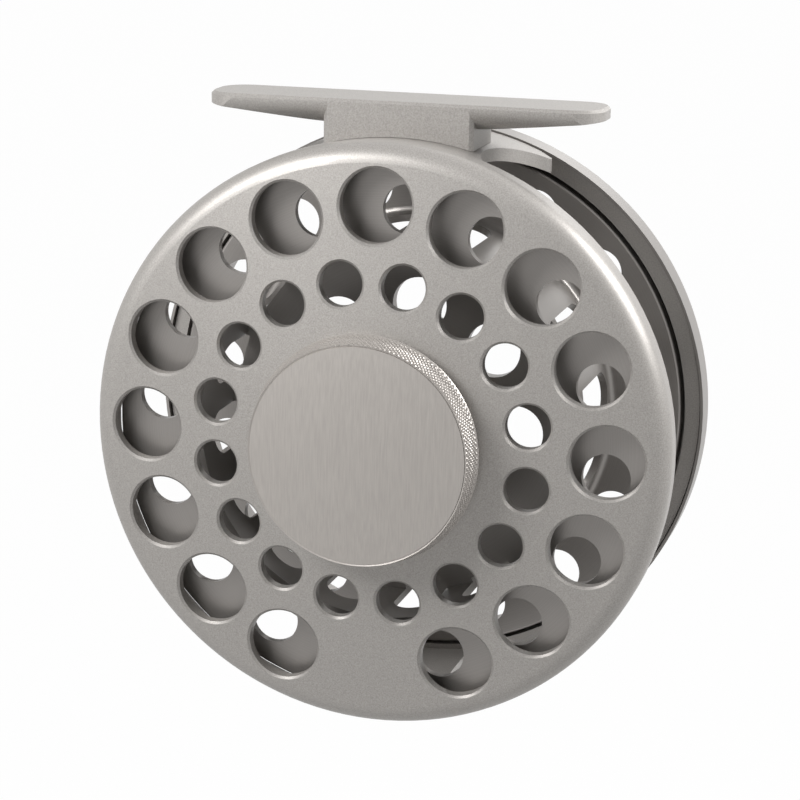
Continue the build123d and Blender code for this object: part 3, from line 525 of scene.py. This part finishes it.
def rings_group():
    """Turning marks: noise over the distance from the spool axis plus the place along it, so
    that faces get rings and round sides get bands."""
    group, start, end = shader_group("Turning Marks", ("Vector", "Scale"), ("Height", "Shade"))
    split = group.nodes.new("ShaderNodeSeparateXYZ")
    group.links.new(start.outputs["Vector"], split.inputs[0])
    x, y, z = split.outputs
    squares = [math_node(group, "MULTIPLY", side, side) for side in (x, z)]
    radius = math_node(group, "SQRT", math_node(group, "ADD", *squares))
    bands = group.nodes.new("ShaderNodeTexNoise")
    bands.noise_dimensions = "1D"
    bands.inputs["Detail"].default_value = 2.0
    group.links.new(math_node(group, "ADD", radius, y), bands.inputs["W"])
    group.links.new(start.outputs["Scale"], bands.inputs["Scale"])
    for label in ("Height", "Shade"):
        group.links.new(bands.outputs["Fac"], end.inputs[label])
    return group


def handling_group():
    """Handling: a broad soft mask where fingers have dulled the finish."""
    group, start, end = shader_group("Handling", ("Vector",), ("Mask",))
    broad = noise(group, start.outputs["Vector"], scale=38.0, detail=3.0)
    ramp = group.nodes.new("ShaderNodeMapRange")
    ramp.inputs["From Min"].default_value = 0.35
    ramp.inputs["From Max"].default_value = 0.75
    group.links.new(broad, ramp.inputs["Value"])
    group.links.new(ramp.outputs["Result"], end.inputs["Mask"])
    return group


class Finish:
    """A material with Object coordinates centred on the spool axis and one Principled shader."""

    def __init__(self, name, metallic):
        self.material = bpy.data.materials.new(name)
        self.material.use_nodes = True
        self.tree = self.material.node_tree
        self.shader = self.tree.nodes["Principled BSDF"]
        self.shader.inputs["Metallic"].default_value = metallic
        coords = self.tree.nodes.new("ShaderNodeTexCoord")
        mapping = self.tree.nodes.new("ShaderNodeMapping")
        mapping.inputs["Location"].default_value = -AXIS
        self.tree.links.new(coords.outputs["Object"], mapping.inputs["Vector"])
        self.vector = mapping.outputs["Vector"]

    def group(self, group, scale=None):
        """Places a shared group in this material and returns its node."""
        node = self.tree.nodes.new("ShaderNodeGroup")
        node.node_tree = group
        self.tree.links.new(self.vector, node.inputs["Vector"])
        if scale:
            node.inputs["Scale"].default_value = scale
        return node

    def tone(self, colour, factor, at_low, at_high):
        """Base colour as two casts of one colour, where the factor is low and where it is high."""
        ramp = self.tree.nodes.new("ShaderNodeValToRGB")
        casts = zip(ramp.color_ramp.elements, (0.3, 0.7), (at_low, at_high))
        for element, position, cast in casts:
            element.position = position
            element.color = (*[channel * cast for channel in colour], 1)
        self.tree.links.new(factor, ramp.inputs["Fac"])
        self.tree.links.new(ramp.outputs["Color"], self.shader.inputs["Base Color"])

    def roughen(self, factor, smooth, dull):
        """Roughness between two values, by a factor."""
        node = self.tree.nodes.new("ShaderNodeMapRange")
        node.inputs["To Min"].default_value = smooth
        node.inputs["To Max"].default_value = dull
        self.tree.links.new(factor, node.inputs["Value"])
        self.tree.links.new(node.outputs["Result"], self.shader.inputs["Roughness"])

    def bump(self, height, strength, distance):
        """Surface relief from a height."""
        node = self.tree.nodes.new("ShaderNodeBump")
        node.inputs["Strength"].default_value = strength
        node.inputs["Distance"].default_value = distance
        self.tree.links.new(height, node.inputs["Height"])
        self.tree.links.new(node.outputs["Normal"], self.shader.inputs["Normal"])


def blasted_finish(name, colour, scale, groups):
    """Fine blasted alloy with a satin sheen."""
    finish = Finish(name, metallic=0.45)
    grain = finish.group(groups["grain"], scale)
    handling = finish.group(groups["handling"])
    finish.tone(colour, grain.outputs["Shade"], at_low=0.84, at_high=1.16)
    finish.roughen(handling.outputs["Mask"], smooth=0.42, dull=0.48)
    finish.bump(grain.outputs["Height"], strength=0.3, distance=0.02 * MM)
    return finish.material


def brushed_finish(name, colour, scale, groups, drawn_out=20.0):
    """Satin alloy brushed upwards: the grain is drawn out along Z."""
    finish = Finish(name, metallic=0.45)
    stretch = finish.tree.nodes.new("ShaderNodeMapping")
    stretch.inputs["Scale"].default_value = (1.0, 1.0, 1.0 / drawn_out)
    finish.tree.links.new(finish.vector, stretch.inputs["Vector"])
    finish.vector = stretch.outputs["Vector"]
    grain = finish.group(groups["grain"], scale)
    finish.tone(colour, grain.outputs["Shade"], at_low=0.93, at_high=1.07)
    finish.roughen(grain.outputs["Shade"], smooth=0.34, dull=0.42)
    finish.bump(grain.outputs["Height"], strength=0.15, distance=0.008 * MM)
    return finish.material


def turned_finish(name, colour, scale, groups, metallic, smooth, dull):
    """Turned metal: fine rings about the spool axis."""
    finish = Finish(name, metallic)
    marks = finish.group(groups["rings"], scale)
    finish.tone(colour, marks.outputs["Shade"], at_low=0.95, at_high=1.04)
    finish.roughen(marks.outputs["Shade"], smooth, dull)
    finish.bump(marks.outputs["Height"], strength=0.3, distance=0.004 * MM)
    return finish.material


def moulded_finish(name, colour, scale, groups, smooth, dull):
    """Moulded polymer or rubber with a fine spark-eroded grain."""
    finish = Finish(name, metallic=0.0)
    grain = finish.group(groups["grain"], scale)
    handling = finish.group(groups["handling"])
    finish.tone(colour, grain.outputs["Shade"], at_low=0.85, at_high=1.15)
    finish.roughen(handling.outputs["Mask"], smooth, dull)
    finish.bump(grain.outputs["Height"], strength=0.35, distance=0.03 * MM)
    return finish.material


def cork_finish(name, colour, crumbs=900.0, contrast=0.9):
    """Pressed cork: crumbs as cells, so many to the metre, light in the middle with dark seams."""
    finish = Finish(name, metallic=0.0)
    cells = finish.tree.nodes.new("ShaderNodeTexVoronoi")
    cells.inputs["Scale"].default_value = crumbs
    finish.tree.links.new(finish.vector, cells.inputs["Vector"])
    shade = math_node(finish.tree, "MULTIPLY", cells.outputs["Distance"], contrast)
    finish.tone(colour, shade, at_low=1.1, at_high=0.6)
    finish.roughen(shade, smooth=0.65, dull=0.9)
    finish.bump(shade, strength=0.4, distance=0.05 * MM)
    return finish.material


# ================================================================ operators
class REEL_OT_knob(Operator):
    """Make the knurled drag knob and its domed cap"""

    bl_idname = "reel.knob"
    bl_label = "Knurled Knob"

    def execute(self, context):
        settings = context.scene.reel_knob
        add_piece(knurled_knob(settings), "drag_dial", "knob_metal", "drag_knob", sharp=40.0)
        add_piece(domed_cap(settings), "drag_dial", "knob_metal", "knob_cap")
        return {"FINISHED"}


class REEL_OT_springs(Operator):
    """Make the detent coil and the wave spring"""

    bl_idname = "reel.springs"
    bl_label = "Springs"

    def execute(self, context):
        settings = context.scene.reel_knob
        add_piece(detent_coil(settings), "root", "steel", "detent_spring")
        add_piece(wave_washer(settings), "root", "steel", "wave_spring")
        return {"FINISHED"}


class REEL_OT_screws(Operator):
    """Make the socket screws on the handle side"""

    bl_idname = "reel.screws"
    bl_label = "Socket Screws"

    def execute(self, context):
        for node, sizes in SCREWS.items():
            low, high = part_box(node)
            places = screw_places(node, sizes["head"])
            screws = [socket_screw(place, low.y, high.y, **sizes) for place in places]
            mesh = grid_mesh(node.replace("screw", "socket_screw"), *screws)
            add_piece(mesh, "spool", "screws", node, sharp=35.0)
        return {"FINISHED"}


class REEL_OT_finishes(Operator):
    """Give every node and piece its finish"""

    bl_idname = "reel.finishes"
    bl_label = "Finishes"

    def execute(self, context):
        settings = context.scene.reel_finish
        groups = {"grain": grain_group(), "rings": rings_group(), "handling": handling_group()}
        grain, marks = 1 / settings.grain, 1 / settings.ring_spacing
        finishes = {
            "body_metal": blasted_finish("Blasted alloy", settings.body, grain, groups),
            # the knob's lighter colour is partly a painted highlight, and the spool's darker colour is
            # partly painted shade
            "knob_metal": brushed_finish("Brushed knob alloy", settings.knob, grain, groups),
            "spool_metal": turned_finish("Turned spool alloy", settings.spool, marks, groups,
                                         metallic=0.6, smooth=0.32, dull=0.40),
            "steel": turned_finish("Ground steel", settings.steel, marks, groups,
                                   metallic=1.0, smooth=0.2, dull=0.32),
            "screws": turned_finish("Screw steel", settings.screw, marks, groups,
                                    metallic=1.0, smooth=0.28, dull=0.4),
            "brass": turned_finish("Machined brass", settings.brass, marks, groups,
                                   metallic=1.0, smooth=0.22, dull=0.36),
            "cork": cork_finish("Pressed cork", settings.cork),
            "polymer": moulded_finish("Moulded polymer", settings.polymer, grain, groups,
                                      smooth=0.42, dull=0.55),
            "grip": moulded_finish("Grip polymer", settings.grip, grain / 2, groups,
                                   smooth=0.38, dull=0.5),
            "seal": moulded_finish("Seal rubber", settings.seal, grain, groups, smooth=0.6, dull=0.7),
        }
        slots = {part["node"]: part["material_slot"] for part in frame["record"]["subparts"]}
        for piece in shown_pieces():
            piece.data.materials.clear()
            piece.data.materials.append(finishes[slots.get(piece.name) or piece["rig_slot"]])
        return {"FINISHED"}


def area_lamp(name, place, target, size, power):
    """A soft square lamp aimed at a point."""
    data = bpy.data.lights.new(name, "AREA")
    data.shape = "SQUARE"
    data.size = size
    data.energy = power
    lamp = bpy.data.objects.new(name, data)
    lamp.location = place
    lamp.rotation_mode = "QUATERNION"
    lamp.rotation_quaternion = (place - target).to_track_quat("Z", "Y")
    bpy.context.scene.collection.objects.link(lamp)


def seen_rays(tree):
    """A factor that is 1 for camera, glossy and transmission rays."""
    path = tree.nodes.new("ShaderNodeLightPath")
    both = math_node(tree, "MAXIMUM", path.outputs["Is Camera Ray"], path.outputs["Is Glossy Ray"])
    return math_node(tree, "MAXIMUM", both, path.outputs["Is Transmission Ray"])


def mixed(tree, factor, first, second):
    """A mix of two shaders, which is the second where the factor is 1."""
    mix = tree.nodes.new("ShaderNodeMixShader")
    for socket, value in zip(mix.inputs, (factor, first, second)):
        tree.links.new(value, socket)
    return mix.outputs[0]


def studio_world(ambient):
    """A white room to the camera and to reflections, and a softer light on the reel."""
    world = bpy.data.worlds.new("Studio")
    world.use_nodes = True
    tree = world.node_tree
    tree.nodes.clear()
    room, white = (tree.nodes.new("ShaderNodeBackground") for _ in range(2))
    for light, strength in ((room, ambient), (white, 1.0)):
        light.inputs["Color"].default_value = WHITE
        light.inputs["Strength"].default_value = strength
    out = tree.nodes.new("ShaderNodeOutputWorld")
    surface = mixed(tree, seen_rays(tree), room.outputs[0], white.outputs[0])
    tree.links.new(surface, out.inputs["Surface"])
    bpy.context.scene.world = world


def floor_finish(white):
    """A floor that is nearly plain white to the camera and still takes a faint shadow."""
    material = bpy.data.materials.new("Studio floor")
    material.use_nodes = True
    tree = material.node_tree
    shader = tree.nodes["Principled BSDF"]
    shader.inputs["Base Color"].default_value = (0.85, 0.85, 0.85, 1)
    shader.inputs["Roughness"].default_value = 0.9
    shader.inputs["Specular IOR Level"].default_value = 0.0
    glow = tree.nodes.new("ShaderNodeEmission")
    glow.inputs["Color"].default_value = WHITE
    glow.inputs["Strength"].default_value = 1.0
    factor = math_node(tree, "MULTIPLY", seen_rays(tree), white)
    surface = mixed(tree, factor, shader.outputs[0], glow.outputs[0])
    tree.links.new(surface, tree.nodes["Material Output"].inputs["Surface"])
    return material


def studio_floor(settings, height):
    """A square floor at a height, which belongs to the studio and not to the reel."""
    reach = settings.floor_reach
    corners = [(-reach, -reach, height), (reach, -reach, height), (reach, reach, height),
               (-reach, reach, height)]
    mesh = bpy.data.meshes.new("studio_floor")
    mesh.from_pydata(corners, [], [(0, 1, 2, 3)])
    mesh.materials.append(floor_finish(settings.floor_white))
    floor = bpy.data.objects.new("studio_floor", mesh)
    bpy.context.scene.collection.objects.link(floor)
    floor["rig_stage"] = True


def studio_camera(settings):
    """A camera aimed at the plate's middle: it stands back along the view, turned by azimuth about
    Z and raised by elevation, and leans by roll."""
    azimuth, elevation, roll = settings.azimuth, settings.elevation, settings.roll
    level = cos(elevation)
    back = Vector((sin(azimuth) * level, -cos(azimuth) * level, sin(elevation)))
    across = Vector((cos(azimuth), sin(azimuth), 0))
    right = across * cos(roll) + back.cross(across) * sin(roll)
    turn = Matrix((right, back.cross(right), back)).transposed()
    aim = AXIS - Vector((0, settings.edge_plane, 0))
    data = bpy.data.cameras.new("camera")
    data.lens = settings.lens
    data.shift_x, data.shift_y = settings.shift_x, settings.shift_y
    data.clip_start, data.clip_end = 0.01, 50.0
    camera = bpy.data.objects.new("camera", data)
    camera.matrix_world = Matrix.Translation(aim + back * settings.distance) @ turn.to_4x4()
    bpy.context.scene.collection.objects.link(camera)
    bpy.context.scene.camera = camera


class REEL_OT_stage(Operator):
    """Set up the floor, lamps, world and camera"""

    bl_idname = "reel.stage"
    bl_label = "Studio"

    def execute(self, context):
        settings = context.scene.reel_studio
        context.scene.view_settings.view_transform = "Standard"
        low, high = (Vector(corner) for corner in CAD_BOX)
        studio_floor(settings, low.z - settings.floor_drop)
        face = Vector((0, low.y, AXIS.z))
        reel = (low + high) / 2
        for name, target, place, size, power in (
                ("key_lamp", face, settings.key_place, settings.front_size, settings.key),
                ("side_lamp", reel, settings.side_place, settings.front_size, settings.side),
                ("back_lamp", reel, settings.back_place, settings.back_size, settings.back)):
            area_lamp(name, target + Vector(place), target, size, power)
        studio_world(settings.ambient)
        studio_camera(settings)
        return {"FINISHED"}


class REEL_PT_panel(Panel):
    """The reel's pieces and settings"""

    bl_idname = "REEL_PT_panel"
    bl_label = "Fly Reel"
    bl_space_type = "VIEW_3D"
    bl_region_type = "UI"
    bl_category = "Fly Reel"

    def draw(self, context):
        layout = self.layout
        for operator in OPERATORS:
            layout.operator(operator.bl_idname)
        for group in (context.scene.reel_knob, context.scene.reel_finish, context.scene.reel_studio):
            column = layout.column(align=True)
            for name in group.__annotations__:
                column.prop(group, name)


OPERATORS = (REEL_OT_knob, REEL_OT_springs, REEL_OT_screws, REEL_OT_finishes, REEL_OT_stage)
SETTINGS = {
    "reel_knob": ReelKnobSettings,
    "reel_finish": ReelFinishSettings,
    "reel_studio": ReelStudioSettings,
}
CLASSES = (*SETTINGS.values(), *OPERATORS, REEL_PT_panel)


def register():
    for item in CLASSES:
        bpy.utils.register_class(item)
    for name, group in SETTINGS.items():
        setattr(bpy.types.Scene, name, PointerProperty(type=group))


def unregister():
    for name in SETTINGS:
        delattr(bpy.types.Scene, name)
    for item in reversed(CLASSES):
        bpy.utils.unregister_class(item)


def main():
    """Registers the classes, makes the reel's pieces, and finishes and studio."""
    register()
    bpy.ops.reel.knob()
    bpy.ops.reel.springs()
    bpy.ops.reel.screws()
    bpy.ops.reel.finishes()
    bpy.ops.reel.stage()


if __name__ == "__main__":
    main()
